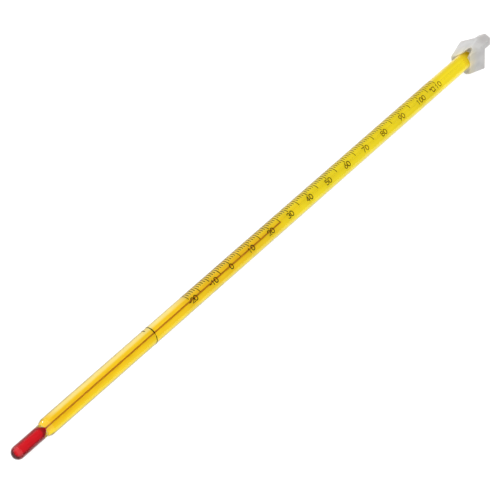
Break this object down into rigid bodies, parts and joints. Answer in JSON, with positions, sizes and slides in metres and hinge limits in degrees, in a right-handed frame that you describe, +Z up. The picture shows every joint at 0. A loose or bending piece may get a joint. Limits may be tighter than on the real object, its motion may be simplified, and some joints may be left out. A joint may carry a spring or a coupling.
{
  "type": "laboratory thermometer",
  "caption": "Glass stick thermometer: yellow-backed round stem, red spirit thread that slides in the bore, fired scale, immersion ring and a pull-off plastic cap that stops it rolling.",
  "frame": {"origin": "middle of the bounding box's bottom, on the plane of the cap's foot", "axes": "+X along the stem from the bulb to the cap, +Z up through the cap's ridge, with the scale turned 5 degrees from it towards -Y, +Y towards the side where the division lines start"},
  "size_m": [0.305, 0.016, 0.0119],
  "materials": {
    "clear_glass": "polished",
    "yellow_enamel": "gloss, opaque",
    "red_spirit": "gloss",
    "fired_ink": "satin",
    "cap_plastic": "satin, faintly translucent"
  },
  "bodies": {
    "thermometer": {"stem_glass": "clear_glass", "yellow_backing": "yellow_enamel", "bulb_glass": "clear_glass", "bulb_spirit": "red_spirit", "spirit_column": "red_spirit", "degree_lines": "fired_ink", "five_degree_lines": "fired_ink", "ten_degree_lines": "fired_ink", "scale_numerals": "fired_ink", "unit_mark": "fired_ink", "immersion_ring": "fired_ink"},
    "thread": {"thread_head": "red_spirit"},
    "cap": {"anti_roll_cap": "cap_plastic"}
  },
  "joints": [
    {"name": "spirit_reading", "type": "slide", "parent": "thermometer", "child": "thread", "axis": [1, 0, 0], "range_m": [-0.05898, 0.10989], "deforming": ["spirit_column"]},
    {"name": "cap_pull_off", "type": "slide", "parent": "thermometer", "child": "cap", "axis": [1, 0, 0], "range_m": [0, 0.0095]}
  ]
}
